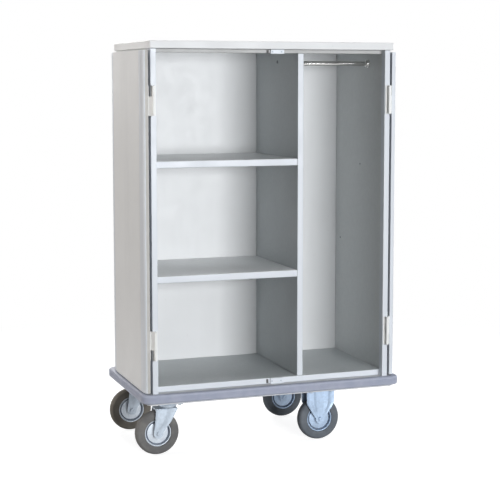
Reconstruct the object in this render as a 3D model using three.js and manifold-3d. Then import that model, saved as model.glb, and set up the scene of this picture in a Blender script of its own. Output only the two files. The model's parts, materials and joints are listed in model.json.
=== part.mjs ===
// Housekeeping cart: a two-door panel cabinet on four castors, with shelves on the left and a hanging bay beside them.
// Millimetres. +X is the cart's width, -Y is its front, +Z is up. The origin is on the floor under the middle.
// The doors stand folded back against the outside of the side panels, as they do when the cart is in use.

import * as THREE from "three";
import { mergeVertices } from "three/addons/utils/BufferGeometryUtils.js";
import Module from "manifold-3d";

const wasm = await Module();
wasm.setup();

// Overall sizes
const HALF_WIDTH = 570;
const HALF_DEPTH = 300;
const FRONT = -HALF_DEPTH;
const BACK = HALF_DEPTH;
const GAP = 0.3;

// Base
const PLATFORM_BOTTOM = 240;
const PLATFORM_TOP = 286;
const PLATFORM_HALF_X = 596;
const PLATFORM_HALF_Y = 310;
const PLATFORM_CORNER = 19;
const BUMPER_BOTTOM = 250;
const BUMPER_TOP = 290;

// Cabinet
const POST_WIDTH = 26;
const RECESS = 38;
const INNER_FRONT = FRONT + RECESS;
const SIDE_THICKNESS = 12;
const BACK_THICKNESS = 10;
const CABINET_BOTTOM = PLATFORM_TOP + GAP;
const ROOF_BOTTOM = 1806;
const ROOF_TOP = 1840;
const ROOF_SIDE_OVERHANG = 8;
const ROOF_FRONT_OVERHANG = 20;
const HEADER_BOTTOM = 1790;
const HEADER_DEPTH = 24;
const FLOOR_TOP = 313;
const DIVIDER_LEFT = 130;
const DIVIDER_RIGHT = 158;
const SHELF_THICKNESS = 31;
const SHELF_TOPS = { shelf_upper: 1316, shelf_lower: 806 };

// Hanging rail
const RAIL_RADIUS = 11;
const RAIL_Y = -85;
const RAIL_Z = 1748;
const FLANGE_RADIUS = 20;
const FLANGE_THICKNESS = 5;
const SOCKET_RADIUS = 15;
const SOCKET_LENGTH = 14;

// Doors, drawn in a frame that has the hinge pin at its origin and the door closed: u runs across the front, away
// from the pin, and v runs towards the back of the cart
const PIN_INSET = 9.5;
const PIN_FORWARD = 17.5;
const PIN_X = HALF_WIDTH - PIN_INSET;
const PIN_Y = FRONT - PIN_FORWARD;
const DOOR_THICKNESS = 26;
const DOOR_WIDTH = 541;
const DOOR_U0 = 17.5;
const DOOR_V0 = 19.5;
const DOOR_U1 = DOOR_U0 + DOOR_WIDTH;
const DOOR_V1 = DOOR_V0 + DOOR_THICKNESS;
const DOOR_BOTTOM = 293;
const DOOR_TOP = 1798;
const HINGE_STILE = 62;
const CROWN_LENGTH = 44;
const CROWN_DEPTH = 11;
const FREE_STILE = 30;

// Hinges
const PIN_RADIUS = 4;
const BORE_RADIUS = 4.08;
const KNUCKLE_RADIUS = 6.5;
const HINGE_LENGTH = 130;
const DOOR_KNUCKLE = 84;
const HINGES = { upper: 1516, lower: 441 };

// Lock on the right door
const ROD_U = 538.5;
const ROD_V = 50.5;
const ROD_WIDTH = 10;
const ROD_THICKNESS = 4;
const ROD_TOP = 1784;
const ROD_BOTTOM = 315;
const KNOB_U = 514;
const KNOB_Z = 1045;
const KNOB_RADIUS = 22;
const SPINDLE_RADIUS = 5;
const CASE = { u0: 500, u1: 556, v1: 61, z0: 985, z1: 1105 };

// Castors
const WHEEL_RADIUS = 100;
const WHEEL_HALF_WIDTH = 24;
const WHEEL_SEGMENTS = 36;
const RIM_RADIUS = 61;
const AXLE_RADIUS = 6;
const AXLE_BORE = 6.08;
const CASTOR_Y = 232;
const SWIVEL_X = -485;
const SWIVEL_OFFSET = -50;
const FIXED_X = 246;
const FORK_INNER = 30;
const FORK_SHEET = 4;

const COLOURS = {
  panel: [0xd3d6d8, 0.5, 0.1],
  edge: [0xe6e9ee, 0.4, 0.1],
  core: [0xa8abb0, 0.7, 0.1],
  bumper: [0xa49faf, 0.6, 0.0],
  zinc: [0xc4cdd6, 0.35, 0.8],
  rubber: [0x77726d, 0.85, 0.0],
  chrome: [0xd9dcde, 0.15, 1.0],
  hinge: [0xe1e4e8, 0.4, 0.3],
  lock: [0x3a3c40, 0.5, 0.2],
};

const cart = new THREE.Group();

function addMesh(name, shape, colour, place = {}) {
  const [hex, roughness, metalness] = COLOURS[colour];
  const geometry = shape.isBufferGeometry ? shape : geometryOf(shape);
  const mesh = new THREE.Mesh(geometry, new THREE.MeshStandardMaterial({ color: hex, roughness, metalness }));
  mesh.name = name;
  mesh.position.set(place.x ?? 0, place.y ?? 0, place.z ?? 0);
  cart.add(mesh);
  return mesh;
}

// The geometry as one merged, outward-facing closed surface.
function closed(geometry) {
  geometry.deleteAttribute("normal");
  geometry.deleteAttribute("uv");
  const merged = mergeVertices(geometry, 1e-4);
  const p = merged.attributes.position;
  const index = merged.index.array;
  const [a, b, c] = [new THREE.Vector3(), new THREE.Vector3(), new THREE.Vector3()];
  let volume = 0;
  for (let i = 0; i < index.length; i += 3) {
    a.fromBufferAttribute(p, index[i]);
    b.fromBufferAttribute(p, index[i + 1]);
    c.fromBufferAttribute(p, index[i + 2]);
    volume += a.dot(b.cross(c));
  }
  if (volume < 0) {
    for (let i = 0; i < index.length; i += 3) {
      [index[i + 1], index[i + 2]] = [index[i + 2], index[i + 1]];
    }
  }
  return merged;
}

function solid(geometry) {
  const merged = closed(geometry);
  const vertProperties = new Float32Array(merged.attributes.position.array);
  const triVerts = new Uint32Array(merged.index.array);
  return new wasm.Manifold(new wasm.Mesh({ numProp: 3, vertProperties, triVerts }));
}

function geometryOf(manifold) {
  const mesh = manifold.getMesh();
  const geometry = new THREE.BufferGeometry();
  geometry.setAttribute("position", new THREE.BufferAttribute(new Float32Array(mesh.vertProperties), 3));
  geometry.setIndex(new THREE.BufferAttribute(new Uint32Array(mesh.triVerts), 1));
  return geometry;
}

function box(x0, x1, y0, y1, z0, z1) {
  const geometry = new THREE.BoxGeometry(x1 - x0, y1 - y0, z1 - z0);
  geometry.translate((x0 + x1) / 2, (y0 + y1) / 2, (z0 + z1) / 2);
  return geometry;
}

function outline(points) {
  return new THREE.Shape(points.map(([x, y]) => new THREE.Vector2(x, y)));
}

// An outline in the XY plane, raised from z0 to z1.
function raised(points, z0, z1) {
  const geometry = new THREE.ExtrudeGeometry(outline(points), { depth: z1 - z0, bevelEnabled: false });
  geometry.translate(0, 0, z0);
  return geometry;
}

// An outline in the XZ plane, given thickness from y0 to y1.
function standing(points, y0, y1) {
  const geometry = new THREE.ExtrudeGeometry(outline(points), { depth: y1 - y0, bevelEnabled: false });
  geometry.rotateX(Math.PI / 2);
  geometry.translate(0, y1, 0);
  return geometry;
}

// A cylinder from one end to the other along the named axis.
function cylinder(radius, axis, from, to, centre = [0, 0, 0], segments = 20) {
  const geometry = new THREE.CylinderGeometry(radius, radius, to - from, segments);
  geometry.translate(0, (from + to) / 2, 0);
  if (axis === "x") geometry.rotateZ(-Math.PI / 2);
  if (axis === "z") geometry.rotateX(Math.PI / 2);
  geometry.translate(...centre);
  return geometry;
}

function roundedRectangle(halfX, halfY, radius, steps = 5) {
  const corners = [
    [halfX - radius, halfY - radius, 0],
    [radius - halfX, halfY - radius, 90],
    [radius - halfX, radius - halfY, 180],
    [halfX - radius, radius - halfY, 270],
  ];
  const points = [];
  for (const [cx, cy, start] of corners) {
    for (let i = 0; i <= steps; i += 1) {
      const angle = THREE.MathUtils.degToRad(start + (90 * i) / steps);
      points.push([cx + radius * Math.cos(angle), cy + radius * Math.sin(angle)]);
    }
  }
  return points;
}

// A ring that follows a rounded rectangle, with a section given as [outward offset, z] points.
function ringAround(halfX, halfY, radius, section) {
  const loops = section.map(([offset, z]) =>
    roundedRectangle(halfX + offset, halfY + offset, radius + offset).map(([x, y]) => [x, y, z]),
  );
  const around = loops[0].length;
  const index = [];
  for (let s = 0; s < loops.length; s += 1) {
    const next = (s + 1) % loops.length;
    for (let i = 0; i < around; i += 1) {
      const j = (i + 1) % around;
      index.push(s * around + i, s * around + j, next * around + j);
      index.push(s * around + i, next * around + j, next * around + i);
    }
  }
  const geometry = new THREE.BufferGeometry();
  geometry.setAttribute("position", new THREE.Float32BufferAttribute(loops.flat(2), 3));
  geometry.setIndex(index);
  return closed(geometry);
}

// Base: a platform slab with a ribbed bumper profile all the way round its edge.
const platformOutline = roundedRectangle(PLATFORM_HALF_X, PLATFORM_HALF_Y, PLATFORM_CORNER);
addMesh("platform", raised(platformOutline, PLATFORM_BOTTOM, PLATFORM_TOP), "core");
const BUMPER_SECTION = [
  [GAP, BUMPER_BOTTOM],
  [17, BUMPER_BOTTOM],
  [23, 252.5],
  [26, 258],
  [26, 265],
  [24.4, 267],
  [24.4, 269],
  [26, 271],
  [26, 281],
  [23.5, 286.5],
  [17, BUMPER_TOP],
  [GAP, BUMPER_TOP],
];
const bumperRing = ringAround(PLATFORM_HALF_X, PLATFORM_HALF_Y, PLATFORM_CORNER, BUMPER_SECTION);
addMesh("bumper", bumperRing, "bumper");

// Cabinet shell.
const PANEL_TOP = ROOF_BOTTOM - GAP;
const INNER_WALL = HALF_WIDTH - SIDE_THICKNESS - GAP;
const BACK_INNER = BACK - BACK_THICKNESS;
for (const [side, s] of [["left", -1], ["right", 1]]) {
  const across = (thickness) => [HALF_WIDTH * s, (HALF_WIDTH - thickness) * s].sort((a, b) => a - b);
  const post = box(...across(POST_WIDTH), FRONT, INNER_FRONT - GAP, CABINET_BOTTOM, PANEL_TOP);
  const panel = box(...across(SIDE_THICKNESS), INNER_FRONT, BACK, CABINET_BOTTOM, PANEL_TOP);
  addMesh(`post_${side}`, post, "edge");
  addMesh(`side_panel_${side}`, panel, "panel");
}
addMesh("back_panel", box(-INNER_WALL, INNER_WALL, BACK_INNER, BACK, CABINET_BOTTOM, PANEL_TOP), "panel");
const roofOutline = roundedRectangle(
  HALF_WIDTH + ROOF_SIDE_OVERHANG,
  HALF_DEPTH + (ROOF_FRONT_OVERHANG + ROOF_SIDE_OVERHANG) / 2,
  6,
  4,
);
addMesh("top_panel", raised(roofOutline, ROOF_BOTTOM, ROOF_TOP), "panel", {
  y: (ROOF_SIDE_OVERHANG - ROOF_FRONT_OVERHANG) / 2,
});
addMesh(
  "header",
  box(-INNER_WALL, INNER_WALL, INNER_FRONT, INNER_FRONT + HEADER_DEPTH, HEADER_BOTTOM, PANEL_TOP),
  "edge",
);
addMesh(
  "floor_tray",
  box(-INNER_WALL, INNER_WALL, INNER_FRONT, BACK_INNER - GAP, CABINET_BOTTOM, FLOOR_TOP),
  "panel",
);

// The divider stands on the floor tray and is notched at its top front corner to clear the header.
const dividerBody = solid(
  box(DIVIDER_LEFT, DIVIDER_RIGHT, INNER_FRONT, BACK_INNER - GAP, FLOOR_TOP + GAP, PANEL_TOP),
);
const notchBack = INNER_FRONT + HEADER_DEPTH + GAP;
const headerNotch = solid(
  box(DIVIDER_LEFT - 5, DIVIDER_RIGHT + 5, INNER_FRONT - 5, notchBack, HEADER_BOTTOM - GAP, ROOF_TOP),
);
addMesh("divider", dividerBody.subtract(headerNotch), "edge");
for (const [name, top] of Object.entries(SHELF_TOPS)) {
  addMesh(
    name,
    box(-INNER_WALL, DIVIDER_LEFT - GAP, INNER_FRONT, BACK_INNER - GAP, top - SHELF_THICKNESS, top),
    "edge",
  );
}

// Hanging rail between two flanged sockets, one on the divider and one on the right wall.
const railLeft = DIVIDER_RIGHT + GAP;
const railRight = HALF_WIDTH - SIDE_THICKNESS - GAP;
const railCentre = [0, RAIL_Y, RAIL_Z];
const railEnd = FLANGE_THICKNESS + GAP;
const rail = cylinder(RAIL_RADIUS, "x", railLeft + railEnd, railRight - railEnd, railCentre);
addMesh("hanging_rail", rail, "chrome");
const flanges = [
  ["rail_flange_left", railLeft, 1],
  ["rail_flange_right", railRight, -1],
];
for (const [name, wall, s] of flanges) {
  const along = (a, b) => [Math.min(wall + s * a, wall + s * b), Math.max(wall + s * a, wall + s * b)];
  const disc = solid(cylinder(FLANGE_RADIUS, "x", ...along(0, FLANGE_THICKNESS), railCentre));
  const socket = solid(cylinder(SOCKET_RADIUS, "x", ...along(0, SOCKET_LENGTH), railCentre));
  const boreEnds = along(FLANGE_THICKNESS, 2 * SOCKET_LENGTH);
  const bore = solid(cylinder(RAIL_RADIUS + GAP, "x", ...boreEnds, railCentre));
  addMesh(name, disc.add(socket).subtract(bore), "chrome");
}

// Keepers for the lock rods, on the header and on the floor tray's lip. Each has a pocket that its rod enters.
const KEEPER = { x0: -4, x1: 60, front: FRONT + 29.3 };
const POCKET = { x0: 14, x1: 31, front: FRONT + 32 };
function keeper(z0, z1, pocketZ0, pocketZ1) {
  const body = solid(box(KEEPER.x0, KEEPER.x1, KEEPER.front, INNER_FRONT - GAP, z0, z1));
  const pocket = solid(box(POCKET.x0, POCKET.x1, POCKET.front, INNER_FRONT + 5, pocketZ0, pocketZ1));
  return body.subtract(pocket);
}
addMesh("keeper_top", keeper(1787, PANEL_TOP, 1780, 1802), "edge");
addMesh("keeper_bottom", keeper(CABINET_BOTTOM, 312, 297, 320), "edge");

// Door parts are drawn closed around the pin, then swung back through 270 degrees to lie along the side.
// The drawing is the left door. The right door is its mirror image.
function foldedBack(geometry, side) {
  geometry.rotateZ(Math.PI / 2);
  geometry.translate(-PIN_X, PIN_Y, 0);
  if (side === "right") geometry.scale(-1, 1, 1);
  return closed(geometry);
}

function addDoorMesh(name, shape, colour, side) {
  const geometry = shape.isBufferGeometry ? shape : geometryOf(shape);
  addMesh(name, foldedBack(geometry, side), colour);
}

// The hinge stile's inner face curves away to a thinner hinge edge.
function hingeStileSection() {
  const points = [[DOOR_U0, DOOR_V0]];
  const steps = 8;
  for (let i = 0; i <= steps; i += 1) {
    const angle = (Math.PI / 2) * (i / steps);
    const u = DOOR_U0 + CROWN_LENGTH * (1 - Math.cos(angle));
    const v = DOOR_V1 - CROWN_DEPTH * (1 - Math.sin(angle));
    points.push([u, v]);
  }
  points.push([DOOR_U0 + HINGE_STILE, DOOR_V1], [DOOR_U0 + HINGE_STILE, DOOR_V0]);
  return points.reverse();
}

const freeStileU = DOOR_U1 - FREE_STILE;
const spindleBore = solid(cylinder(SPINDLE_RADIUS + 0.1, "y", 0, 100, [KNOB_U, 0, KNOB_Z]));
for (const side of ["left", "right"]) {
  const stile = raised(hingeStileSection(), DOOR_BOTTOM, DOOR_TOP);
  addDoorMesh(`door_${side}_hinge_stile`, stile, "edge", side);
  let panel = solid(
    box(DOOR_U0 + HINGE_STILE + GAP, freeStileU - GAP, DOOR_V0, DOOR_V1, DOOR_BOTTOM, DOOR_TOP),
  );
  if (side === "right") panel = panel.subtract(spindleBore);
  addDoorMesh(`door_${side}_panel`, panel, "panel", side);
  const freeStile = box(freeStileU, DOOR_U1, DOOR_V0, DOOR_V1, DOOR_BOTTOM, DOOR_TOP);
  addDoorMesh(`door_${side}_free_stile`, freeStile, "edge", side);
}

// The right door's closing strip overlaps the left door's face when both are shut.
const strip = box(DOOR_U1 - 16, DOOR_U1 + 15, DOOR_V0 - GAP - 2, DOOR_V0 - GAP, DOOR_BOTTOM, DOOR_TOP);
addDoorMesh("closing_strip", strip, "edge", "right");

// Hinges: a leaf on the post's front face and a cranked leaf on the door's outer face, on one pin. The lower
// hinges are the upper ones turned upside down, so that a door can't be lifted off.
const CRANK = [
  [4.5, 0.5],
  [19.5, 12.6],
  [21.5, 16.2],
  [56, 16.2],
  [56, 19.2],
  [17.8, 19.2],
  [17.2, 15.8],
  [1.5, 4.5],
];
const LEAF_PLATE = CRANK.slice(2, 6);
const POST_LEAF = { u0: -6.5, u1: 13.5, v0: 14.4, v1: 17.2 };
const WEB_HALF = 3;
for (const side of ["left", "right"]) {
  for (const [level, bottom] of Object.entries(HINGES)) {
    const top = bottom + HINGE_LENGTH;
    const doorKnuckle = level === "upper" ? [bottom, bottom + DOOR_KNUCKLE] : [top - DOOR_KNUCKLE, top];
    const postKnuckle =
      level === "upper" ? [bottom + DOOR_KNUCKLE + GAP, top] : [bottom, top - DOOR_KNUCKLE - GAP];
    const bore = solid(cylinder(BORE_RADIUS, "z", bottom - 5, top + 5));
    const doorLeaf = solid(raised(LEAF_PLATE, bottom, top))
      .add(solid(raised(CRANK, ...doorKnuckle)))
      .add(solid(cylinder(KNUCKLE_RADIUS, "z", ...doorKnuckle)))
      .subtract(bore);
    addDoorMesh(`hinge_${side}_${level}_door_leaf`, doorLeaf, "hinge", side);
    const s = side === "left" ? -1 : 1;
    const { u0, u1, v0, v1 } = POST_LEAF;
    const plate = solid(box(u0, u1, v0, v1, bottom, top));
    const web = solid(box(-WEB_HALF, WEB_HALF, 2, v0 + 1, ...postKnuckle));
    const knuckle = solid(cylinder(KNUCKLE_RADIUS, "z", ...postKnuckle));
    const postLeaf = geometryOf(plate.add(web).add(knuckle).subtract(bore));
    postLeaf.scale(-s, 1, 1);
    addMesh(`hinge_${side}_${level}_post_leaf`, closed(postLeaf), "hinge", { x: s * PIN_X, y: PIN_Y });
    const pin = cylinder(PIN_RADIUS, "z", bottom + 1, top + 1);
    addMesh(`hinge_${side}_${level}_pin`, pin, "zinc", { x: s * PIN_X, y: PIN_Y });
  }
}

// Lock on the right door: a knob on the outer face turns a spindle, and two flat rods run up and down from it.
const caseV0 = DOOR_V1 + GAP;
const rodU = [ROD_U - ROD_WIDTH / 2, ROD_U + ROD_WIDTH / 2];
const rodV = [ROD_V, ROD_V + ROD_THICKNESS];
const rodChannel = solid(
  box(rodU[0] - 1, rodU[1] + 1, rodV[0] - 1, rodV[1] + 1, CASE.z0 - 10, CASE.z1 + 10),
);
const lockCase = solid(box(CASE.u0, CASE.u1, caseV0, CASE.v1, CASE.z0, CASE.z1));
addDoorMesh("lock_case", lockCase.subtract(rodChannel).subtract(spindleBore), "lock", "right");
const knobCentre = [KNOB_U, 0, KNOB_Z];
const knobPlate = solid(cylinder(KNOB_RADIUS, "y", DOOR_V0 - 3.5, DOOR_V0 - GAP, knobCentre, 28));
const gripZ = [KNOB_Z - KNOB_RADIUS + 3, KNOB_Z + KNOB_RADIUS - 3];
const knobGrip = solid(box(KNOB_U - 4, KNOB_U + 4, DOOR_V0 - 6.5, DOOR_V0 - 2, ...gripZ));
const spindle = solid(cylinder(SPINDLE_RADIUS, "y", DOOR_V0 - 2, CASE.v1 - 2, knobCentre));
addDoorMesh("lock_knob", knobPlate.add(knobGrip).add(spindle), "lock", "right");
addDoorMesh("lock_rod_upper", box(...rodU, ...rodV, KNOB_Z + 20, ROD_TOP), "zinc", "right");
addDoorMesh("lock_rod_lower", box(...rodU, ...rodV, ROD_BOTTOM, KNOB_Z - 20), "zinc", "right");

// Castor wheels: a pressed rim with a hub, and a rubber tyre around it. Both turn about the Y axis.
function wheelPart(section) {
  const points = section.map(([r, y]) => new THREE.Vector2(r, y));
  points.push(points[0].clone());
  return closed(new THREE.LatheGeometry(points, WHEEL_SEGMENTS));
}

function mirrored(half) {
  return half.concat(half.map(([r, y]) => [r, -y]).reverse());
}

const RIM_SECTION = mirrored([
  [AXLE_BORE, 28.5],
  [19, 28.5],
  [21, 17],
  [47, 15],
  [51, 8],
  [57, 21],
  [RIM_RADIUS, 21],
]);
const TYRE_SECTION = mirrored([
  [RIM_RADIUS + GAP, 21],
  [66, WHEEL_HALF_WIDTH],
  [88, 23],
  [97, 15],
  [WHEEL_RADIUS, 5],
]);

function circleArc(cx, cz, radius, from, to, steps) {
  const points = [];
  for (let i = 0; i <= steps; i += 1) {
    const angle = THREE.MathUtils.degToRad(from + ((to - from) * i) / steps);
    points.push([cx + radius * Math.cos(angle), cz + radius * Math.sin(angle)]);
  }
  return points;
}

function addWheel(name, x, y) {
  addMesh(`${name}_rim`, wheelPart(RIM_SECTION), "zinc", { x, y, z: WHEEL_RADIUS });
  addMesh(`${name}_tyre`, wheelPart(TYRE_SECTION), "rubber", { x, y, z: WHEEL_RADIUS });
  const reach = FORK_INNER + FORK_SHEET + GAP;
  const centre = [0, 0, 0];
  const axle = solid(cylinder(AXLE_RADIUS, "y", -reach - 3, reach + 3, centre, 24))
    .add(solid(cylinder(11, "y", -reach - 7, -reach, centre, 6)))
    .add(solid(cylinder(11, "y", reach, reach + 7, centre, 6)));
  addMesh(`${name}_axle`, axle, "zinc", { x, y, z: WHEEL_RADIUS });
}

// A fork leg's outline in XZ, with the axle at x = 0. Its sides are given from the axle upwards.
function legOutline(leftSide, rightSide) {
  return circleArc(0, WHEEL_RADIUS, 22, 190, 350, 8).concat(rightSide, leftSide.toReversed());
}

function forkLegs(leg) {
  const bore = solid(cylinder(AXLE_BORE, "y", -60, 60, [0, 0, WHEEL_RADIUS], 24));
  const front = solid(standing(leg, -FORK_INNER - FORK_SHEET, -FORK_INNER));
  const rear = solid(standing(leg, FORK_INNER, FORK_INNER + FORK_SHEET));
  return (crown) => crown.add(front).add(rear).subtract(bore);
}

// Left end: swivel castors. The wheel trails behind the swivel's axis.
const CROWN_Z = 205;
const swivelLeg = legOutline(
  [[-19, 130], [-15, 165], [-12, CROWN_Z + 2]],
  [[38, 128], [58, 152], [73, 180], [88, CROWN_Z + 2]],
);
for (const [name, s] of [["castor_front_left", -1], ["castor_rear_left", 1]]) {
  const y = s * CASTOR_Y;
  const x = SWIVEL_X + SWIVEL_OFFSET;
  const forkWidth = FORK_INNER + FORK_SHEET;
  const crown = solid(box(-12, 88, -forkWidth, forkWidth, CROWN_Z, CROWN_Z + 6)).add(
    solid(cylinder(42, "z", CROWN_Z, 228, [-SWIVEL_OFFSET, 0, 0], 28)),
  );
  addMesh(`${name}_fork`, forkLegs(swivelLeg)(crown), "zinc", { x, y });
  const ring = solid(cylinder(46, "z", 228 + GAP, 236, [0, 0, 0], 28));
  const plate = solid(box(-55, 55, -67, 67, 235, PLATFORM_BOTTOM - GAP));
  addMesh(`${name}_plate`, plate.add(ring), "zinc", { x: SWIVEL_X, y });
  addWheel(name, x, y);
}

// Right end: fixed castors. The wide fork hangs from its own top plate.
const FIXED_TOP = PLATFORM_BOTTOM - GAP;
const fixedLeg = legOutline(
  [[-36, 122], [-58, 165], [-66, 182], [-68, FIXED_TOP - 2]],
  [[36, 122], [58, 165], [66, 182], [68, FIXED_TOP - 2]],
);
for (const [name, s] of [["castor_front_right", -1], ["castor_rear_right", 1]]) {
  const y = s * CASTOR_Y;
  const crown = solid(box(-68, 68, -56, 56, FIXED_TOP - 5, FIXED_TOP));
  addMesh(`${name}_fork`, forkLegs(fixedLeg)(crown), "zinc", { x: FIXED_X, y });
  addWheel(name, FIXED_X, y);
}

export default cart;
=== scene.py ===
import json
import math

import bmesh
import bpy
from mathutils import Matrix, Vector


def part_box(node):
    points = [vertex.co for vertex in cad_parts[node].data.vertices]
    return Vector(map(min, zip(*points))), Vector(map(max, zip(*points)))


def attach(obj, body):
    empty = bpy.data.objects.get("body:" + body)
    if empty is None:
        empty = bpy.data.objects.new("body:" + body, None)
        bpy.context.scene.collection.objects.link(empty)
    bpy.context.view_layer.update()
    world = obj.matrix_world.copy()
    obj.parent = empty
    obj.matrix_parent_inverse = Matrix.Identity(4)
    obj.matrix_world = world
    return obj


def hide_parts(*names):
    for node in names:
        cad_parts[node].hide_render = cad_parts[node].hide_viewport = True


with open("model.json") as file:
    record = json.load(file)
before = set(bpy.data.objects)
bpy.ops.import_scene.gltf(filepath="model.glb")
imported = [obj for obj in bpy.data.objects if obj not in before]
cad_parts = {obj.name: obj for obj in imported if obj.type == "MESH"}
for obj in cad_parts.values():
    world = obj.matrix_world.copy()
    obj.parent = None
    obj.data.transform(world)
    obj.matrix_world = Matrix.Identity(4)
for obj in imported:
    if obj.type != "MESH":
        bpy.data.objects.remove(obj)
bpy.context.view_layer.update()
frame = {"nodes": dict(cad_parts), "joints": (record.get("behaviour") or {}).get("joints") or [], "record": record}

MM = 0.001
SIDES = {"left": -1, "right": 1}
LEVELS = ("upper", "lower")
record = frame["record"]
joints = {joint["name"]: joint for joint in frame["joints"]}
body_of = {node: body for body, nodes in record["behaviour"]["bodies"].items() for node in nodes}
slot_of = {part["node"]: part["material_slot"] for part in record["subparts"]}


class Graph:
    """A material's node tree, with short calls for the nodes used here."""

    def __init__(self, name):
        self.material = bpy.data.materials.new(name)
        self.material.use_nodes = True
        self.nodes = self.material.node_tree.nodes
        self.links = self.material.node_tree.links
        self.shader = self.nodes["Principled BSDF"]
        self.place = self.nodes.new("ShaderNodeTexCoord").outputs["Object"]

    def stretched(self, scale):
        mapping = self.nodes.new("ShaderNodeMapping")
        mapping.inputs["Scale"].default_value = scale
        self.links.new(self.place, mapping.inputs["Vector"])
        return mapping.outputs["Vector"]

    def noise(self, scale, detail=3, place=None):
        node = self.nodes.new("ShaderNodeTexNoise")
        node.inputs["Scale"].default_value = scale
        node.inputs["Detail"].default_value = detail
        self.links.new(place or self.place, node.inputs["Vector"])
        return node.outputs["Fac"]

    def cells(self, scale):
        node = self.nodes.new("ShaderNodeTexVoronoi")
        node.inputs["Scale"].default_value = scale
        self.links.new(self.place, node.inputs["Vector"])
        split = self.nodes.new("ShaderNodeSeparateColor")
        self.links.new(node.outputs["Color"], split.inputs[0])
        return split.outputs["Red"]

    def spread(self, value, low, high, start=0.3, end=0.7):
        node = self.nodes.new("ShaderNodeMapRange")
        node.inputs["From Min"].default_value = start
        node.inputs["From Max"].default_value = end
        node.inputs["To Min"].default_value = low
        node.inputs["To Max"].default_value = high
        self.links.new(value, node.inputs["Value"])
        return node.outputs["Result"]

    def mixed(self, share, first, second):
        node = self.nodes.new("ShaderNodeMix")
        node.data_type = "RGBA"
        self.links.new(share, node.inputs["Factor"])
        for socket, colour in (("A", first), ("B", second)):
            if isinstance(colour, tuple):
                node.inputs[socket].default_value = (*colour, 1)
            else:
                self.links.new(colour, node.inputs[socket])
        return node.outputs["Result"]

    def bump(self, height, distance, strength=1.0, below=None):
        node = self.nodes.new("ShaderNodeBump")
        node.inputs["Distance"].default_value = distance
        node.inputs["Strength"].default_value = strength
        self.links.new(height, node.inputs["Height"])
        if below:
            self.links.new(below, node.inputs["Normal"])
        return node.outputs["Normal"]

    def drive(self, socket, value):
        self.links.new(value, self.shader.inputs[socket])


# ---------------------------------------------------------------- camera, light and floor

CAMERA_PLACE = (-2.138, -5.949, 1.662)
CAMERA_TURN = 0.3485
CAMERA_TILT = 0.1057
CAMERA_LENS = 97.1
CAMERA_SENSOR = 36
CAMERA_SHIFT = (-0.012, -0.05)
WHITE = (1.0, 1.0, 1.0)
CART_MIDDLE = (0.0, 0.0, 1.0)
AMBIENT = 0.08
REFLECTED = 0.4
WARM_SIDE = (1.0, 0.955, 0.9)
COOL_SIDE = (0.9, 0.95, 1.0)
FLOOR_RADIUS = 3.4
FLOOR_DROP = 0.0005
FLOOR_FADE = (0.35 * FLOOR_RADIUS, 0.92 * FLOOR_RADIUS)
FLOOR_COLOUR = (0.45, 0.45, 0.455)
FLOOR_GLOW = 0.84


def add_camera():
    data = bpy.data.cameras.new("camera")
    data.lens = CAMERA_LENS
    data.sensor_width = CAMERA_SENSOR
    data.shift_x, data.shift_y = CAMERA_SHIFT
    camera = bpy.data.objects.new("camera", data)
    camera.location = CAMERA_PLACE
    camera.rotation_euler = (math.pi / 2 - CAMERA_TILT, 0, -CAMERA_TURN)
    bpy.context.scene.collection.objects.link(camera)
    bpy.context.scene.camera = camera


def add_area_light(name, place, target, size, power, colour):
    data = bpy.data.lights.new(name, "AREA")
    data.shape = "RECTANGLE"
    data.size, data.size_y = size
    data.energy = power
    data.color = colour
    light = bpy.data.objects.new(name, data)
    light.location = place
    light.rotation_euler = (Vector(target) - Vector(place)).to_track_quat("-Z", "Y").to_euler()
    bpy.context.scene.collection.objects.link(light)


def add_world():
    """A white backdrop. It lights faintly, more in reflections, and warm on the left to cool on the right."""
    world = bpy.data.worlds.new("studio")
    world.use_nodes = True
    nodes, links = world.node_tree.nodes, world.node_tree.links
    nodes.clear()
    output = nodes.new("ShaderNodeOutputWorld")
    mix = nodes.new("ShaderNodeMixShader")
    seen = nodes.new("ShaderNodeBackground")
    seen.inputs["Color"].default_value = (*WHITE, 1)
    light = nodes.new("ShaderNodeBackground")
    path = nodes.new("ShaderNodeLightPath")
    strength = nodes.new("ShaderNodeMapRange")
    strength.inputs["To Min"].default_value = AMBIENT
    strength.inputs["To Max"].default_value = REFLECTED
    links.new(path.outputs["Is Glossy Ray"], strength.inputs["Value"])
    links.new(strength.outputs["Result"], light.inputs["Strength"])
    coordinates = nodes.new("ShaderNodeTexCoord")
    split = nodes.new("ShaderNodeSeparateXYZ")
    share = nodes.new("ShaderNodeMapRange")
    share.inputs["From Min"].default_value = -1
    blend = nodes.new("ShaderNodeMix")
    blend.data_type = "RGBA"
    blend.inputs["A"].default_value = (*WARM_SIDE, 1)
    blend.inputs["B"].default_value = (*COOL_SIDE, 1)
    links.new(coordinates.outputs["Generated"], split.inputs[0])
    links.new(split.outputs["X"], share.inputs["Value"])
    links.new(share.outputs["Result"], blend.inputs["Factor"])
    links.new(blend.outputs["Result"], light.inputs["Color"])
    links.new(path.outputs["Is Camera Ray"], mix.inputs["Fac"])
    links.new(light.outputs[0], mix.inputs[1])
    links.new(seen.outputs[0], mix.inputs[2])
    links.new(mix.outputs[0], output.inputs["Surface"])
    bpy.context.scene.world = world


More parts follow.
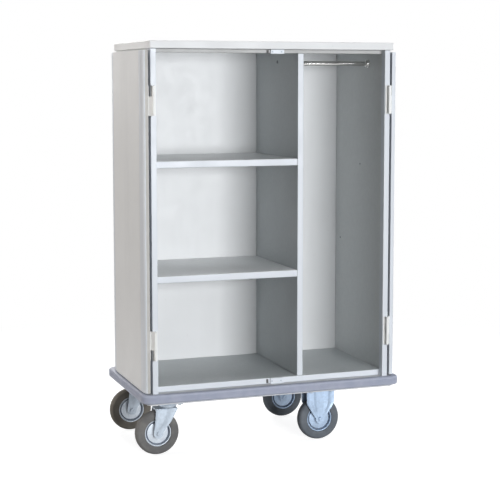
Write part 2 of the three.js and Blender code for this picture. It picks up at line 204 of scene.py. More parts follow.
def add_floor():
    """A round white floor. It fades into the backdrop, and throws no light back up onto the cart."""
    bpy.ops.mesh.primitive_circle_add(
        vertices=96, radius=FLOOR_RADIUS, fill_type="NGON", location=(0, 0, -FLOOR_DROP)
    )
    floor = bpy.context.object
    floor.name = "floor"
    floor.visible_diffuse = False
    graph = Graph("floor_white")
    distance = graph.nodes.new("ShaderNodeVectorMath")
    distance.operation = "LENGTH"
    graph.links.new(graph.place, distance.inputs[0])
    far = graph.spread(distance.outputs["Value"], 0, 1, *FLOOR_FADE)
    graph.drive("Base Color", graph.mixed(far, FLOOR_COLOUR, (0, 0, 0)))
    graph.drive("Emission Strength", graph.spread(far, FLOOR_GLOW, 1, 0, 1))
    graph.shader.inputs["Roughness"].default_value = 0.9
    graph.shader.inputs["Specular IOR Level"].default_value = 0.0
    graph.shader.inputs["Emission Color"].default_value = (*WHITE, 1)
    floor.data.materials.append(graph.material)


add_camera()
add_world()
add_area_light("key", (1.0, -6.9, 1.5), CART_MIDDLE, (3.2, 1.6), 425, (0.96, 0.98, 1.0))
add_area_light("left_fill", (-4.8, 0.9, 1.7), (-0.6, 0.0, 1.0), (3.0, 2.4), 125, (1.0, 0.965, 0.93))
add_area_light("right_fill", (4.8, 0.9, 1.7), (0.6, 0.0, 1.0), (3.0, 2.4), 85, (0.95, 0.98, 1.0))
add_area_light("top_fill", (0.0, -0.4, 6.0), (0.0, 0.0, 0.0), (2.0, 2.0), 85, WHITE)
add_area_light("back_fill", (0.0, 6.4, 2.8), CART_MIDDLE, (3.0, 3.0), 230, WHITE)
add_floor()
bpy.context.scene.view_settings.view_transform = "Standard"


# ---------------------------------------------------------------- materials


def shade(colour, factor):
    return tuple(channel * factor for channel in colour)


def coated(name, colour, roughness, scuffs=0.05):
    """Powder-coated metal: a faint orange peel, slow colour drift, and rubbed streaks and scuffs."""
    graph = Graph(name)
    drift = graph.mixed(graph.spread(graph.noise(2.2), 0, 1), shade(colour, 0.965), shade(colour, 1.02))
    streaks = graph.noise(9, 6, graph.stretched((1.0, 1.0, 0.12)))
    worn = graph.mixed(graph.spread(streaks, 0, scuffs * 4, 0.56, 0.78), drift, shade(colour, 0.8))
    specks = graph.spread(graph.noise(55, 5), 0, scuffs * 3, 0.66, 0.75)
    graph.drive("Base Color", graph.mixed(specks, worn, shade(colour, 0.6)))
    graph.drive("Roughness", graph.spread(graph.noise(14, 5), roughness - 0.07, roughness + 0.09))
    peel = graph.bump(graph.noise(420, 2), 0.00012, 0.35)
    graph.drive("Normal", graph.bump(graph.noise(5), 0.0006, 0.25, peel))
    graph.shader.inputs["Specular IOR Level"].default_value = 0.45
    return graph.material


def laminated(name, colour, roughness):
    """Smooth laminate: a faint mottle, handling marks that show in the gloss, and an almost flat surface."""
    graph = Graph(name)
    mottle = graph.mixed(graph.spread(graph.noise(60, 4), 0, 1), shade(colour, 0.97), shade(colour, 1.02))
    dust = graph.mixed(graph.spread(graph.noise(5, 3), 0, 0.5, 0.5, 0.8), mottle, shade(colour, 0.93))
    graph.drive("Base Color", dust)
    graph.drive("Roughness", graph.spread(graph.noise(6, 3), roughness - 0.03, roughness + 0.05))
    graph.drive("Normal", graph.bump(graph.noise(350, 2), 0.00002, 0.2))
    return graph.material


def plated(name, colour, roughness, metallic=0.75):
    """Bright zinc plate: small crystal cells, dull patches and fine rolling lines."""
    graph = Graph(name)
    tone = graph.mixed(graph.cells(130), shade(colour, 0.9), shade(colour, 1.04))
    dull = graph.mixed(graph.spread(graph.noise(28, 5), 0, 0.35, 0.5, 0.75), tone, shade(colour, 0.72))
    graph.drive("Base Color", dull)
    graph.drive("Roughness", graph.spread(graph.noise(60, 4), roughness - 0.08, roughness + 0.12))
    lines = graph.noise(300, 2, graph.stretched((1.0, 1.0, 0.08)))
    graph.drive("Normal", graph.bump(lines, 0.00008, 0.3))
    graph.shader.inputs["Metallic"].default_value = metallic
    return graph.material


def rubber(name, colour, dusty, roughness, grain):
    """Moulded rubber: a fine grain, with dust that lies in patches."""
    graph = Graph(name)
    patches = graph.spread(graph.noise(18, 6), 0, 0.8, 0.42, 0.7)
    graph.drive("Base Color", graph.mixed(patches, colour, dusty))
    graph.drive("Roughness", graph.spread(graph.noise(40, 4), roughness - 0.06, roughness + 0.08))
    fine = graph.bump(graph.noise(grain, 3), 0.0002, 0.5)
    graph.drive("Normal", graph.bump(graph.noise(30, 2), 0.0004, 0.2, fine))
    graph.shader.inputs["Specular IOR Level"].default_value = 0.3
    return graph.material


def polished(name, colour):
    """Chrome with light smears."""
    graph = Graph(name)
    graph.drive("Base Color", graph.mixed(graph.noise(12), shade(colour, 0.94), colour))
    graph.drive("Roughness", graph.spread(graph.noise(22, 6), 0.07, 0.22))
    graph.drive("Normal", graph.bump(graph.noise(160, 2), 0.00004, 0.25))
    graph.shader.inputs["Metallic"].default_value = 1
    return graph.material


def moulded(name, colour, roughness):
    """Moulded plastic with a fine spark-eroded grain."""
    graph = Graph(name)
    graph.drive("Base Color", graph.mixed(graph.noise(35, 4), shade(colour, 0.85), shade(colour, 1.15)))
    graph.drive("Roughness", graph.spread(graph.noise(70, 3), roughness - 0.06, roughness + 0.08))
    graph.drive("Normal", graph.bump(graph.noise(900, 2), 0.0001, 0.6))
    return graph.material


ZINC = (0.42, 0.475, 0.54)
materials = {
    "panel": coated("panel_coat", (0.74, 0.745, 0.75), 0.48),
    "edge": coated("edge_coat", (0.68, 0.71, 0.755), 0.4, 0.03),
    # The platform's real grey is lightened as painted light, which fills the shade in the gap between the floor
    # tray and the bumper.
    "core": coated("platform_coat_painted_fill_light", (0.6, 0.61, 0.63), 0.6, 0.08),
    "bumper": rubber("bumper_rubber", (0.35, 0.375, 0.47), (0.42, 0.44, 0.525), 0.55, 700),
    "zinc": plated("zinc_plate", ZINC, 0.42, 0.45),
    "tyre": rubber("tyre_rubber", (0.14, 0.138, 0.138), (0.22, 0.212, 0.2), 0.8, 420),
    "chrome": polished("chrome_plate", (0.72, 0.71, 0.69)),
    "hinge": coated("hinge_coat", (0.86, 0.86, 0.845), 0.38, 0.03),
    "lock": moulded("lock_plastic", (0.045, 0.047, 0.052), 0.45),
}
rim_material = plated("rim_plate", (0.58, 0.63, 0.69), 0.4, 0.35)
# Tinted copies of the zinc and tyre looks. Their tints are painted light: cool light and shade on the right
# castors, warm light on the rear left tyre.
zinc_painted_cool_tint_material = plated("zinc_plate_painted_cool_tint", (0.38, 0.48, 0.62), 0.42, 0.45)
tyre_painted_cool_shade_material = rubber("tyre_rubber_painted_cool_shade", (0.115, 0.13, 0.15), (0.17, 0.185, 0.205), 0.8, 420)
tyre_painted_warm_light_material = rubber("tyre_rubber_painted_warm_light", (0.16, 0.145, 0.125), (0.235, 0.215, 0.185), 0.8, 420)
# A dark zinc for the rims' groove, as painted shade in the recess.
rim_groove_painted_shade_material = plated("zinc_groove_painted_shade", (0.18, 0.21, 0.27), 0.6, 0.3)
# The grey-beige of the strip on the left door's hinge edge.
grey_strip_material = rubber("grey_edge_strip", (0.5, 0.487, 0.46), (0.56, 0.545, 0.52), 0.6, 800)
# Three tones of one laminate. Their darkness is painted shade: darkest on the divider and floor tray, less on the
# side panels, least on the shelves.
laminate_deepest_shade_material = laminated("laminate", (0.5, 0.53, 0.54), 0.42)
# The header's dark grey is painted shade: the shade under the top panel's overhang.
header_painted_shade_material = coated("header_coat_painted_shade", (0.42, 0.42, 0.415), 0.5, 0.03)
laminate_faint_shade_material = laminated("shelf_laminate_painted_shade", (0.78, 0.795, 0.8), 0.4)
laminate_middle_shade_material = laminated("wall_laminate_painted_shade", (0.65, 0.67, 0.67), 0.4)
buffer_material = rubber("buffer_rubber", (0.1, 0.098, 0.1), (0.16, 0.155, 0.15), 0.7, 800)
screw_material = plated("screw_steel", (0.3, 0.31, 0.33), 0.4, 0.9)


# ---------------------------------------------------------------- mesh helpers

SMOOTH_ANGLE = 38
BEVEL_SEGMENTS = 3
HEAD_STEPS = 24
RIVET_STEPS = 20


def add_piece(name, bm, material, body, nodes=(), smooth=SMOOTH_ANGLE, bevel=0.0, extra_materials=()):
    """Turns a bmesh into a piece on a CAD body. bevel rounds its sharp edges by that many metres."""
    bmesh.ops.recalc_face_normals(bm, faces=bm.faces)
    mesh = bpy.data.meshes.new(name)
    bm.to_mesh(mesh)
    bm.free()
    for polygon in mesh.polygons:
        polygon.use_smooth = True
    mesh.set_sharp_from_angle(angle=math.radians(smooth))
    for item in (material, *extra_materials):
        mesh.materials.append(item)
    piece = bpy.data.objects.new(name, mesh)
    bpy.context.scene.collection.objects.link(piece)
    if bevel:
        rounding = piece.modifiers.new("rounding", "BEVEL")
        rounding.width = bevel
        rounding.segments = BEVEL_SEGMENTS
        rounding.limit_method = "ANGLE"
        rounding.angle_limit = math.radians(smooth)
        rounding.use_clamp_overlap = True
    normals = piece.modifiers.new("normals", "WEIGHTED_NORMAL")
    normals.keep_sharp = not bevel
    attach(piece, body)
    if nodes:
        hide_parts(*nodes)


def rounded_copy(node, bevel, surface=None, banded=False):
    """Stands for a CAD node, with the same faces and its edges rounded.

    surface is a material of its own, and a banded board keeps its slot's material on its front edge."""
    bm = bmesh.new()
    bm.from_mesh(frame["nodes"][node].data)
    bmesh.ops.remove_doubles(bm, verts=bm.verts, dist=0.02 * MM)
    bmesh.ops.dissolve_limit(bm, angle_limit=math.radians(1), verts=bm.verts, edges=bm.edges)
    slot = slot_of[node]
    looks = [surface or materials[slot]]
    if banded:
        looks = [materials[slot], surface]
        for face in bm.faces:
            face.material_index = 0 if face.normal.y < -0.5 else 1
    first, *extra = looks
    add_piece(f"{node}_shape", bm, first, body_of[node], (node,), bevel=bevel, extra_materials=extra)


def loft(bm, rings, closed=False):
    """Joins rings of equally many points into a skin. An open loft is capped at both ends.

    A closed one joins its last ring to its first instead."""
    loops = [[bm.verts.new(point) for point in ring] for ring in rings]
    pairs = list(zip(loops, loops[1:]))
    if closed:
        pairs.append((loops[-1], loops[0]))
    for first, second in pairs:
        for i in range(len(first)):
            j = (i + 1) % len(first)
            bm.faces.new((first[i], first[j], second[j], second[i]))
    if not closed:
        bm.faces.new(list(reversed(loops[0])))
        bm.faces.new(loops[-1])


def circle(radius, height, steps):
    angles = [2 * math.pi * i / steps for i in range(steps)]
    return [Vector((radius * math.cos(a), radius * math.sin(a), height)) for a in angles]


def hexagon(radius, height, steps):
    """A hexagon with points between its corners, so that it joins to a circle of the same steps."""
    points = []
    for i in range(steps):
        angle = 2 * math.pi * i / steps
        within = (angle + math.pi / 6) % (math.pi / 3) - math.pi / 6
        reach = radius * math.cos(math.pi / 6) / math.cos(within)
        points.append(Vector((reach * math.cos(angle), reach * math.sin(angle), height)))
    return points


def facing(direction, place):
    """The matrix that takes +Z to a direction and the origin to a place."""
    return Matrix.Translation(place) @ Vector(direction).to_track_quat("Z", "Y").to_matrix().to_4x4()


def placed(rings, matrix):
    return [[matrix @ point for point in ring] for ring in rings]


def turned(bm, profile, matrix, steps, second_look=()):
    """A solid of revolution about +Z from a closed profile of (radius, height) points.

    second_look lists the points whose faces, towards the next point, have the piece's second material."""
    rings = placed([circle(radius, height, steps) for radius, height in profile], matrix)
    loops = [[bm.verts.new(point) for point in ring] for ring in rings]
    for k, first in enumerate(loops):
        second = loops[(k + 1) % len(loops)]
        for i in range(steps):
            j = (i + 1) % steps
            face = bm.faces.new((first[i], first[j], second[j], second[i]))
            face.material_index = 1 if k in second_look else 0


def arc(centre, radii, start, end, steps):
    """Points of an elliptical arc, in degrees."""
    points = []
    for i in range(steps + 1):
        angle = math.radians(start + (end - start) * i / steps)
        points.append((centre[0] + radii[0] * math.cos(angle), centre[1] + radii[1] * math.sin(angle)))
    return points


def screw(bm, place, direction, radius, height):
    """A pan-head screw with a hexagon socket."""
    rings = [
        circle(radius, 0, HEAD_STEPS),
        circle(radius, 0.35 * height, HEAD_STEPS),
        circle(0.9 * radius, 0.75 * height, HEAD_STEPS),
        circle(0.65 * radius, height, HEAD_STEPS),
        hexagon(0.45 * radius, height, HEAD_STEPS),
        hexagon(0.42 * radius, 0.35 * height, HEAD_STEPS),
    ]
    loft(bm, placed(rings, facing(direction, place)))


def rivet(bm, place, direction, radius, height):
    """A blind rivet: a low dome with a dimple where its mandrel broke off."""
    rings = [
        circle(radius, 0, RIVET_STEPS),
        circle(0.93 * radius, 0.4 * height, RIVET_STEPS),
        circle(0.7 * radius, 0.85 * height, RIVET_STEPS),
        circle(0.4 * radius, height, RIVET_STEPS),
        circle(0.3 * radius, 0.7 * height, RIVET_STEPS),
    ]
    loft(bm, placed(rings, facing(direction, place)))


def bolt_head(bm, place, direction, radius, height):
    """A hexagon bolt head with a chamfered top, on a washer."""
    washer = 0.22 * height
    matrix = facing(direction, place)
    loft(bm, placed([circle(1.25 * radius, level, HEAD_STEPS) for level in (0, washer)], matrix))
    rings = [
        hexagon(radius, washer, HEAD_STEPS),
        hexagon(radius, 0.85 * height, HEAD_STEPS),
        circle(0.86 * radius, height, HEAD_STEPS),
        circle(0.5 * radius, height, HEAD_STEPS),
        circle(0.42 * radius, 0.93 * height, HEAD_STEPS),
    ]
    loft(bm, placed(rings, matrix))


def block(bm, low, high):
    """A box between two corners."""
    corners = ((low[0], low[1]), (high[0], low[1]), (high[0], high[1]), (low[0], high[1]))
    loft(bm, [[Vector((x, y, z)) for x, y in corners] for z in (low[2], high[2])])


def middle(node):
    low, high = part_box(node)
    return (low + high) / 2


# ---------------------------------------------------------------- base

# Edge radii in millimetres.
ROUNDED = {
    "platform": 2.0,
    "post_left": 2.2,
    "post_right": 2.2,
    "side_panel_left": 0.8,
    "side_panel_right": 0.8,
    "back_panel": 0.8,
    "top_panel": 4.0,
    "floor_tray": 3.0,
    "divider": 2.5,
    "shelf_upper": 3.5,
    "shelf_lower": 3.5,
    "keeper_top": 0.8,
    "keeper_bottom": 0.8,
    "door_left_hinge_stile": 1.4,
    "door_left_panel": 0.4,
    "door_left_free_stile": 1.4,
    "door_right_hinge_stile": 1.4,
    "door_right_panel": 0.4,
    "door_right_free_stile": 1.4,
    "closing_strip": 0.6,
    "lock_case": 2.0,
    "lock_rod_upper": 0.8,
    "lock_rod_lower": 0.8,
}
# Boards with an edge band in front, and the laminate of their other faces. The laminate's darkness is painted
# shade: darkest on the divider and floor tray, less on the side panels, least on the shelves.
BANDED = {
    "divider": laminate_deepest_shade_material,
    "shelf_upper": laminate_faint_shade_material,
    "shelf_lower": laminate_faint_shade_material,
    "floor_tray": laminate_deepest_shade_material,
    "side_panel_left": laminate_middle_shade_material,
    "side_panel_right": laminate_middle_shade_material,
}
# Millimetres.
HEADER_ROUNDING = 1.5
LEAF_ROUNDING = 0.5
BUMPER_REACH = 26
BUMPER_HEIGHT = 40
BUMPER_NOSE = (9, 8.5)
BUMPER_CORNER = 19
BUMPER_GROOVES = (14, 20, 26)
GROOVE_DEPTH = 1.3
GROOVE_STEP = 0.8

for node, bevel in ROUNDED.items():
    rounded_copy(node, bevel * MM, BANDED.get(node), node in BANDED)
# The header gets a dark grey as painted shade under the top panel's overhang.
rounded_copy("header", HEADER_ROUNDING * MM, header_painted_shade_material)
for side in SIDES:
    for level in LEVELS:
        rounded_copy(f"hinge_{side}_{level}_door_leaf", LEAF_ROUNDING * MM)
        rounded_copy(f"hinge_{side}_{level}_post_leaf", LEAF_ROUNDING * MM)


def bumper_section():
    """Millimetres outward from the platform's edge, and up from the bumper's underside."""
    out, up = BUMPER_NOSE
    section = [(0.3, 0), *arc((BUMPER_REACH - out, up), BUMPER_NOSE, -90, 0, 6)]
    for groove in BUMPER_GROOVES:
        section += [
            (BUMPER_REACH, groove),
            (BUMPER_REACH - GROOVE_DEPTH, groove + GROOVE_STEP),
            (BUMPER_REACH - GROOVE_DEPTH, groove + 2 * GROOVE_STEP),
            (BUMPER_REACH, groove + 3 * GROOVE_STEP),
        ]
    section += arc((BUMPER_REACH - out, BUMPER_HEIGHT - up), BUMPER_NOSE, 0, 90, 6)
    return [*section, (0.3, BUMPER_HEIGHT)]


def add_bumper():
    low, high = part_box("bumper")
    half_x = high.x - BUMPER_REACH * MM
    half_y = high.y - BUMPER_REACH * MM
    corner = BUMPER_CORNER * MM
    steps = 14
    centres = [(1, 1, 0), (-1, 1, 90), (-1, -1, 180), (1, -1, 270)]
    section = bumper_section()
    rings = []
    for sx, sy, start in centres:
        for i in range(steps + 1):
            angle = math.radians(start + 90 * i / steps)
            ring = []
            for outward, up in section:
                reach = corner + outward * MM
                x = sx * (half_x - corner) + reach * math.cos(angle)
                y = sy * (half_y - corner) + reach * math.sin(angle)
                ring.append(Vector((x, y, low.z + up * MM)))
            rings.append(ring)
    bm = bmesh.new()
    loft(bm, rings, closed=True)
    add_piece("bumper_profile", bm, materials["bumper"], "cabinet", ("bumper",), smooth=50)


add_bumper()


# ---------------------------------------------------------------- cabinet fittings

RIVET_LEVELS = 9
# Screws in the right wall by their place along the depth and height, in metres.
WALL_SCREWS = ((-0.001, 1.269), (0.231, 0.887))
# The bolt in the divider, backward and upward from the middle of the hanging rail, in metres.
DIVIDER_BOLT = (0.083, 0.007)
# A rivet head's radius and height, in metres.
RIVET_HEAD = (4 * MM, 1.4 * MM)
# Millimetres from here on.
FLANGE_SEAT = 5
BUFFER_HEIGHTS = {"keeper_top": 14, "keeper_bottom": 18}
RIVET_INSET = 14


def add_rail():
    low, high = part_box("hanging_rail")
    centre = middle("hanging_rail")
    radius = (high.z - low.z) / 2
    length = high.x - low.x
    bm = bmesh.new()
    rings = [circle(radius, share * length, 48) for share in (0, 1 / 3, 2 / 3, 1)]
    loft(bm, placed(rings, facing((1, 0, 0), (low.x, centre.y, centre.z))))
    add_piece("hanging_rail_tube", bm, materials["chrome"], "cabinet", ("hanging_rail",))
    for side, sign in SIDES.items():
        node = f"rail_flange_{side}"
        low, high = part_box(node)
        wall = low.x if sign < 0 else high.x
        outer = (high.z - low.z) / 2
        bore = radius + 0.3 * MM
        profile = [
            (bore, FLANGE_SEAT * MM),
            (bore, 14 * MM),
            (14 * MM, 14 * MM),
            (15 * MM, 13 * MM),
            (15.4 * MM, 7 * MM),
            (17 * MM, FLANGE_SEAT * MM),
            (outer - 1 * MM, 4.2 * MM),
            (outer, 3 * MM),
            (outer, 0),
            (bore, 0),
        ]
        bm = bmesh.new()
        turned(bm, profile, facing((-sign, 0, 0), (wall, centre.y, centre.z)), 48)
        add_piece(f"{node}_cup", bm, materials["chrome"], "cabinet", (node,))


def add_wall_details():
    """Two screws in the right wall's inside face, and a bolt in the divider's left one."""
    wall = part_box("side_panel_right")[0].x
    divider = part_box("divider")[0].x
    rail = middle("hanging_rail")
    bm = bmesh.new()
    for y, z in WALL_SCREWS:
        screw(bm, (wall, y, z), (-1, 0, 0), 4.5 * MM, 2 * MM)
    back, up = DIVIDER_BOLT
    bolt_head(bm, (divider, rail.y + back, rail.z + up), (-1, 0, 0), 6 * MM, 4 * MM)
    add_piece("wall_screws", bm, screw_material, "cabinet")


def add_keeper_details():
    """Screws in the keepers, and a rubber door buffer beside each."""
    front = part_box("header")[0].y
    for node, buffer_height in BUFFER_HEIGHTS.items():
        low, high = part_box(node)
        level = (low.z + high.z) / 2
        bm = bmesh.new()
        for share in (0.12, 0.8):
            place = (low.x + share * (high.x - low.x), low.y, level)
            screw(bm, place, (0, -1, 0), 3.2 * MM, 1.2 * MM)
        add_piece(f"{node}_screws", bm, materials["zinc"], "cabinet")
        half = buffer_height * MM / 2
        bm = bmesh.new()
        buffer_low = (low.x - 18 * MM, front - 3 * MM, level - half)
        buffer_high = (low.x - 8 * MM, front - 0.05 * MM, level + half)
        block(bm, buffer_low, buffer_high)
        add_piece(f"{node}_buffer", bm, buffer_material, "cabinet", bevel=1 * MM)


def rivet_heights(low, high):
    """The heights of a panel's row of rivets, evenly spaced between its insets."""
    inset = RIVET_INSET * MM
    run = high.z - low.z - 2 * inset
    return [low.z + inset + run * i / (RIVET_LEVELS - 1) for i in range(RIVET_LEVELS)]


def add_panel_rivets():
    """Rivets that hold the back panel and the side panels to the frame."""
    low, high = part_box("back_panel")
    bm = bmesh.new()
    for z in rivet_heights(low, high):
        for x in (low.x + RIVET_INSET * MM, high.x - RIVET_INSET * MM):
            rivet(bm, (x, high.y, z), (0, 1, 0), *RIVET_HEAD)
    add_piece("back_rivets", bm, materials["zinc"], "cabinet")
    for side, sign in SIDES.items():
        low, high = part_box(f"side_panel_{side}")
        face = low.x if sign < 0 else high.x
        bm = bmesh.new()
        for z in rivet_heights(low, high):
            rivet(bm, (face, high.y - 8 * MM, z), (sign, 0, 0), *RIVET_HEAD)
        add_piece(f"side_rivets_{side}", bm, materials["zinc"], "cabinet")


add_rail()
add_wall_details()
add_keeper_details()
add_panel_rivets()


# ---------------------------------------------------------------- doors

# The screws' places as shares of a leaf's height.
LEAF_SCREWS = (0.14, 0.38, 0.62, 0.86)
# Millimetres from here on.
LEAF_SCREW_BACK = 14
ROSETTE = 22
GRIP_END = 4
GRIP_REACH = 15


def add_door_grey_strip():
    """A grey-beige strip, half a millimetre proud, along the outer half of the left door's hinge edge."""
    low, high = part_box("door_left_hinge_stile")
    bm = bmesh.new()
    seal_low = (high.x - 14 * MM, low.y - 0.5 * MM, low.z + 1 * MM)
    seal_high = (high.x - 0.2 * MM, low.y + 0.4 * MM, high.z - 1 * MM)
    block(bm, seal_low, seal_high)
    add_piece("door_left_grey_strip", bm, grey_strip_material, "door_left", bevel=0.2 * MM)


def add_hinge_pins_and_screws():
    for side, sign in SIDES.items():
        for level in LEVELS:
            stem = f"hinge_{side}_{level}"
            low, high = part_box(f"{stem}_pin")
            centre = middle(f"{stem}_pin")
            radius = (high.x - low.x) / 2
            length = high.z - low.z
            rings = [
                circle(0.7 * radius, 0, HEAD_STEPS),
                circle(radius, 0.8 * MM, HEAD_STEPS),
                circle(radius, length - 1.2 * MM, HEAD_STEPS),
                circle(0.75 * radius, length - 0.3 * MM, HEAD_STEPS),
                circle(0.35 * radius, length, HEAD_STEPS),
            ]
            bm = bmesh.new()
            loft(bm, placed(rings, Matrix.Translation((centre.x, centre.y, low.z))))
            add_piece(f"{stem}_pin_turned", bm, materials["zinc"], "cabinet", (f"{stem}_pin",))
            leaf_low, leaf_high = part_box(f"{stem}_door_leaf")
            face = leaf_high.x if sign < 0 else leaf_low.x
            plate_y = leaf_high.y - LEAF_SCREW_BACK * MM
            bm = bmesh.new()
            for share in LEAF_SCREWS:
                z = leaf_low.z + share * (leaf_high.z - leaf_low.z)
                screw(bm, (face, plate_y, z), (-sign, 0, 0), 3.6 * MM, 0.9 * MM)
            add_piece(f"{stem}_door_screws", bm, materials["zinc"], f"door_{side}")


def add_lock_knob():
    """A round rosette with a turn grip on it, as one piece."""
    pivot = Vector(joints["lock_turn"]["pos_m"])
    into_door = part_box("lock_knob")[1].x - pivot.x
    bm = bmesh.new()
    plate = [
        circle(5 * MM, -into_door, 48),
        circle(5 * MM, 0.3 * MM, 48),
        circle(ROSETTE * MM, 0.3 * MM, 48),
        circle(ROSETTE * MM, 2 * MM, 48),
        circle((ROSETTE - 1.4) * MM, 3.4 * MM, 48),
        circle(9 * MM, 3.5 * MM, 48),
    ]
    loft(bm, placed(plate, facing((-1, 0, 0), pivot)))
    end = (GRIP_END * MM, GRIP_END * MM)
    outline = arc((0, GRIP_REACH * MM), end, 0, 180, 10)
    outline += arc((0, -GRIP_REACH * MM), end, 180, 360, 10)
    half_length = GRIP_REACH + GRIP_END
    rings = []
    for height, inset in ((2.6, 0), (5.4, 0.2), (6.2, 0.9), (6.5, 1.8)):
        across = (GRIP_END - inset) / GRIP_END
        along = (half_length - inset) / half_length
        x = pivot.x - height * MM
        rings.append([Vector((x, pivot.y + y * across, pivot.z + z * along)) for y, z in outline])
    loft(bm, rings)
    add_piece("lock_knob_turned", bm, materials["lock"], "lock_knob", ("lock_knob",), smooth=45)


def add_lock_case_screws():
    low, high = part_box("lock_case")
    bm = bmesh.new()
    for y in (low.y + 7 * MM, low.y + 20 * MM):
        for z in (low.z + 9 * MM, high.z - 9 * MM):
            screw(bm, (high.x, y, z), (1, 0, 0), 3 * MM, 0.4 * MM)
    add_piece("lock_case_screws", bm, materials["zinc"], "door_right")


add_door_grey_strip()
add_hinge_pins_and_screws()
add_lock_knob()
add_lock_case_screws()


# ---------------------------------------------------------------- castors

WHEEL_STEPS = 96
LEG_COLUMNS = 36
LEG_ROWS = 26
# A plate bolt head's radius and height, in metres.
PLATE_BOLT = (7 * MM, 5.5 * MM)
# Millimetres from here on. The axle's height is the wheel's radius.
WHEEL = 100
# The rim's groove as a band of radii. Its faces get a dark zinc as painted shade.
RIM_GROOVE_SHADE_BAND = (49, 54)
FORK_FACE = 34
FORK_SHEET = 4
FOOT_RADIUS = 22
LEG_START = WHEEL + 4
LEG_START_HALF = 21.6
PRESS_START = WHEEL + 18
PRESS_RISE = 35
FIXED_PLATE = 5
FIXED_BOLTS = (48, 45.5)
SWIVEL_PLATE = 4.7
SWIVEL_BOLTS = (43, 54)
FORK_ROUNDING = 0.9
CROWN = 205
CROWN_SHEET = 6
# The material of each castor's fork, rim and tyre. The right castors' blue tint and darker tyres are painted cool
# light and shade, and the rear left tyre's brown tint is painted warm light.
CASTOR_LOOKS = {
    "castor_front_left": (materials["zinc"], rim_material, materials["tyre"]),
    "castor_rear_left": (materials["zinc"], rim_material, tyre_painted_warm_light_material),
    "castor_front_right": (zinc_painted_cool_tint_material, zinc_painted_cool_tint_material, tyre_painted_cool_shade_material),
    "castor_rear_right": (zinc_painted_cool_tint_material, zinc_painted_cool_tint_material, tyre_painted_cool_shade_material),
}


def both_sides(half):
    """A wheel's closed profile in metres, from the (radius, width) points of one side in millimetres."""
    profile = half + [(radius, -width) for radius, width in reversed(half)]
    return [(radius * MM, width * MM) for radius, width in profile]


def tyre_profile():
    half = [(61.3, 20.5), (63, 22.8), (66, 24), (70, 24)]
    half += [(70.8, 24.5), (72.4, 24.5), (73.2, 24), (80, 23.8)]
    return both_sides(half + arc((WHEEL - 14, 4), (14, 19.6), 80, 0, 10))


def rim_profile():
    half = [(6.1, 28), (8, 28.5), (14.5, 28.5), (16.5, 27.4), (17.5, 20), (20, 17.4), (24, 16.6)]
    half += [(44, 15.4), (48.4, 14.2), (49.6, 12.2), (50.2, 7), (53.6, 7), (54.4, 15)]
    half += [(55.6, 20.2), (57, 21.8), (59.4, 22), (61, 20.5)]
    return both_sides(half)


def add_wheel(stem):
    rim_look, tyre_look = CASTOR_LOOKS[stem][1:]
    body = body_of[f"{stem}_rim"]
    matrix = facing((0, 1, 0), middle(f"{stem}_rim"))
    node = f"{stem}_tyre"
    bm = bmesh.new()
    turned(bm, tyre_profile(), matrix, WHEEL_STEPS)
    add_piece(f"{node}_turned", bm, tyre_look, body, (node,), smooth=40)
    node = f"{stem}_rim"
    profile = rim_profile()
    # The rim's faces in the groove get the dark zinc of painted shade.
    inner, outer = RIM_GROOVE_SHADE_BAND
    groove = [k for k, (radius, _) in enumerate(profile) if inner * MM < radius < outer * MM]
    bm = bmesh.new()
    turned(bm, profile, matrix, WHEEL_STEPS, groove)
    extra = (rim_groove_painted_shade_material,)
    add_piece(f"{node}_turned", bm, rim_look, body, (node,), smooth=40, extra_materials=extra)


def add_axle(stem):
    node = f"{stem}_axle"
    centre = middle(node)
    reach = (FORK_FACE + 0.3) * MM
    shaft = [circle(6 * MM, end, 32) for end in (-reach, reach)]
    bm = bmesh.new()
    loft(bm, placed(shaft, facing((0, 1, 0), centre)))
    for sign in (-1, 1):
        bolt_head(bm, centre + Vector((0, sign * reach, 0)), (0, sign, 0), 9.6 * MM, 7 * MM)
    add_piece(f"{node}_bolt", bm, CASTOR_LOOKS[stem][0], body_of[node], (node,), smooth=30)


def between(points, height):
    """The sideways place of a fork leg's edge at a height, from its (sideways, height) points."""
    for (x0, z0), (x1, z1) in zip(points, points[1:]):
        if height <= z1:
            share = (height - z0) / (z1 - z0)
            return x0 + (x1 - x0) * share
    return points[-1][0]


def pressed_leg(bm, centre, sign, left, right, top, press):
    """One leg of a fork: sheet steel with a rounded foot at the axle, pressed outward by press(across)."""
    rows = []
    for degrees in range(12, 91, 13):
        angle = math.radians(degrees)
        half = FOOT_RADIUS * math.sin(angle)
        rows.append((-half, half, WHEEL - FOOT_RADIUS * math.cos(angle)))
    for i in range(LEG_ROWS + 1):
        z = LEG_START + (top - LEG_START) * i / LEG_ROWS
        rows.append((between(left, z), between(right, z), z))
    sheets = []
    for inner in (0, 1):
        sheet = []
        for x0, x1, z in rows:
            up = max(0.0, min(1.0, (z - PRESS_START) / PRESS_RISE))
            line = []
            for c in range(LEG_COLUMNS + 1):
                across = -1 + 2 * c / LEG_COLUMNS
                x = x0 + (x1 - x0) * (across + 1) / 2
                out = FORK_FACE + up * press(across) - inner * FORK_SHEET
                line.append(bm.verts.new(centre + Vector((x, sign * out, z - WHEEL)) * MM))
            sheet.append(line)
        sheets.append(sheet)
    outer, inner = sheets
    last_row = len(rows) - 1
    for r in range(last_row):
        for c in range(LEG_COLUMNS):
            bm.faces.new((outer[r][c], outer[r][c + 1], outer[r + 1][c + 1], outer[r + 1][c]))
            bm.faces.new((inner[r][c], inner[r + 1][c], inner[r + 1][c + 1], inner[r][c + 1]))
        for c in (0, LEG_COLUMNS):
            bm.faces.new((outer[r][c], outer[r + 1][c], inner[r + 1][c], inner[r][c]))
    for c in range(LEG_COLUMNS):
        for r in (0, last_row):
            bm.faces.new((outer[r][c], outer[r][c + 1], inner[r][c + 1], inner[r][c]))


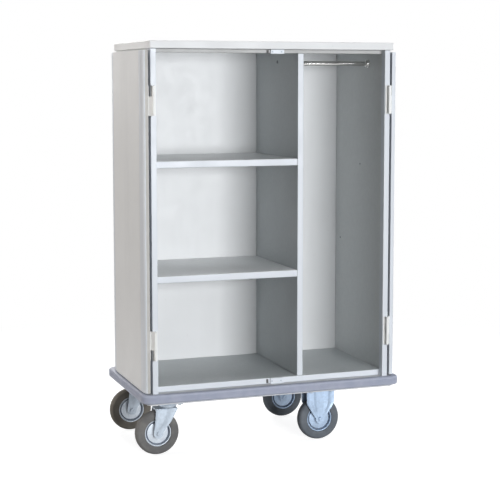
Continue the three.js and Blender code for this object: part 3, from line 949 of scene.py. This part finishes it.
def ridge(across, place, width):
    """A smooth ridge of height 1. The places run from -1 to 1 across the leg."""
    return math.exp(-(((across - place) / width) ** 2))


def fixed_press(across):
    """Two ridges along a fixed leg, and edges turned outward, in millimetres."""
    edges = max(0.0, (abs(across) - 0.86) / 0.14)
    return 3.2 * ridge(across, -0.52, 0.13) + 3.2 * ridge(across, 0.52, 0.13) + 2.0 * edges


def swivel_press(across):
    """One broad ridge along a swivel leg, and edges turned outward, in millimetres."""
    edges = max(0.0, (abs(across) - 0.8) / 0.2)
    return 2.6 * ridge(across, 0.0, 0.38) + 2.2 * edges


def add_plate_bolts(stem, centre, level, reach):
    """Four bolt heads under a castor's plate, reach millimetres to the sides of its centre."""
    bm = bmesh.new()
    for sx in (-1, 1):
        for sy in (-1, 1):
            place = (centre.x + sx * reach[0] * MM, centre.y + sy * reach[1] * MM, level)
            bolt_head(bm, place, (0, 0, -1), *PLATE_BOLT)
    add_piece(f"{stem}_plate_bolts", bm, materials["zinc"], "cabinet", smooth=30)


def add_fixed_fork(stem):
    node = f"{stem}_fork"
    low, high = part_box(node)
    centre = middle(f"{stem}_axle")
    top = high.z / MM - 3
    right = [(LEG_START_HALF, LEG_START), (36, 124), (60, 162), (66, 172), (68, 184), (68, top)]
    left = [(-x, z) for x, z in right]
    bm = bmesh.new()
    for sign in (-1, 1):
        pressed_leg(bm, centre, sign, left, right, top, fixed_press)
    block(bm, (low.x, low.y, high.z - FIXED_PLATE * MM), high)
    look = CASTOR_LOOKS[stem][0]
    rounding = FORK_ROUNDING * MM
    add_piece(f"{stem}_fork_pressed", bm, look, body_of[node], (node,), bevel=rounding)
    add_plate_bolts(stem, centre, high.z - FIXED_PLATE * MM, FIXED_BOLTS)


def add_swivel_fork(stem):
    node = f"{stem}_fork"
    centre = middle(f"{stem}_axle")
    pivot = Vector(joints[f"{stem}_swivel"]["pos_m"])
    top = CROWN + 4
    wheel_end = -12
    pivot_end = 88
    left = [(-LEG_START_HALF, LEG_START), (-19, 130), (-15, 165), (wheel_end, top)]
    right = [(LEG_START_HALF, LEG_START), (38, 128), (58, 152), (73, 180), (pivot_end, top)]
    bm = bmesh.new()
    for sign in (-1, 1):
        pressed_leg(bm, centre, sign, left, right, top, swivel_press)
    half = FORK_FACE * MM
    crown_low = (centre.x + wheel_end * MM, centre.y - half, CROWN * MM)
    crown_high = (centre.x + pivot_end * MM, centre.y + half, (CROWN + CROWN_SHEET) * MM)
    block(bm, crown_low, crown_high)
    rounding = FORK_ROUNDING * MM
    add_piece(f"{stem}_fork_pressed", bm, materials["zinc"], body_of[node], (node,), bevel=rounding)
    bowl = [(8, 0), (34, 0), (36, 6), (41, 12), (42, 16), (42, 21), (40, 23), (8, 23)]
    bm = bmesh.new()
    profile = [(radius * MM, (CROWN + up) * MM) for radius, up in bowl]
    turned(bm, profile, Matrix.Translation((pivot.x, pivot.y, 0)), 64)
    add_piece(f"{stem}_swivel_bowl", bm, materials["zinc"], body_of[node])


def add_swivel_plate(stem):
    node = f"{stem}_plate"
    low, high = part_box(node)
    pivot = Vector(joints[f"{stem}_swivel"]["pos_m"])
    underside = high.z - SWIVEL_PLATE * MM
    bm = bmesh.new()
    block(bm, (low.x, low.y, underside), high)
    add_piece(f"{stem}_top_plate", bm, materials["zinc"], "cabinet", (node,), bevel=1.2 * MM)
    race = [(10, 0), (43, 0), (46, 2), (46, 5), (43, 6.5), (10, 6.5)]
    profile = [(radius * MM, low.z + up * MM) for radius, up in race]
    bm = bmesh.new()
    turned(bm, profile, Matrix.Translation((pivot.x, pivot.y, 0)), 64)
    add_piece(f"{stem}_race", bm, materials["zinc"], "cabinet")
    add_plate_bolts(stem, pivot, underside, SWIVEL_BOLTS)


for stem in ("castor_front_left", "castor_rear_left"):
    add_swivel_plate(stem)
    add_swivel_fork(stem)
for stem in ("castor_front_right", "castor_rear_right"):
    add_fixed_fork(stem)
for stem in CASTOR_LOOKS:
    add_wheel(stem)
    add_axle(stem)
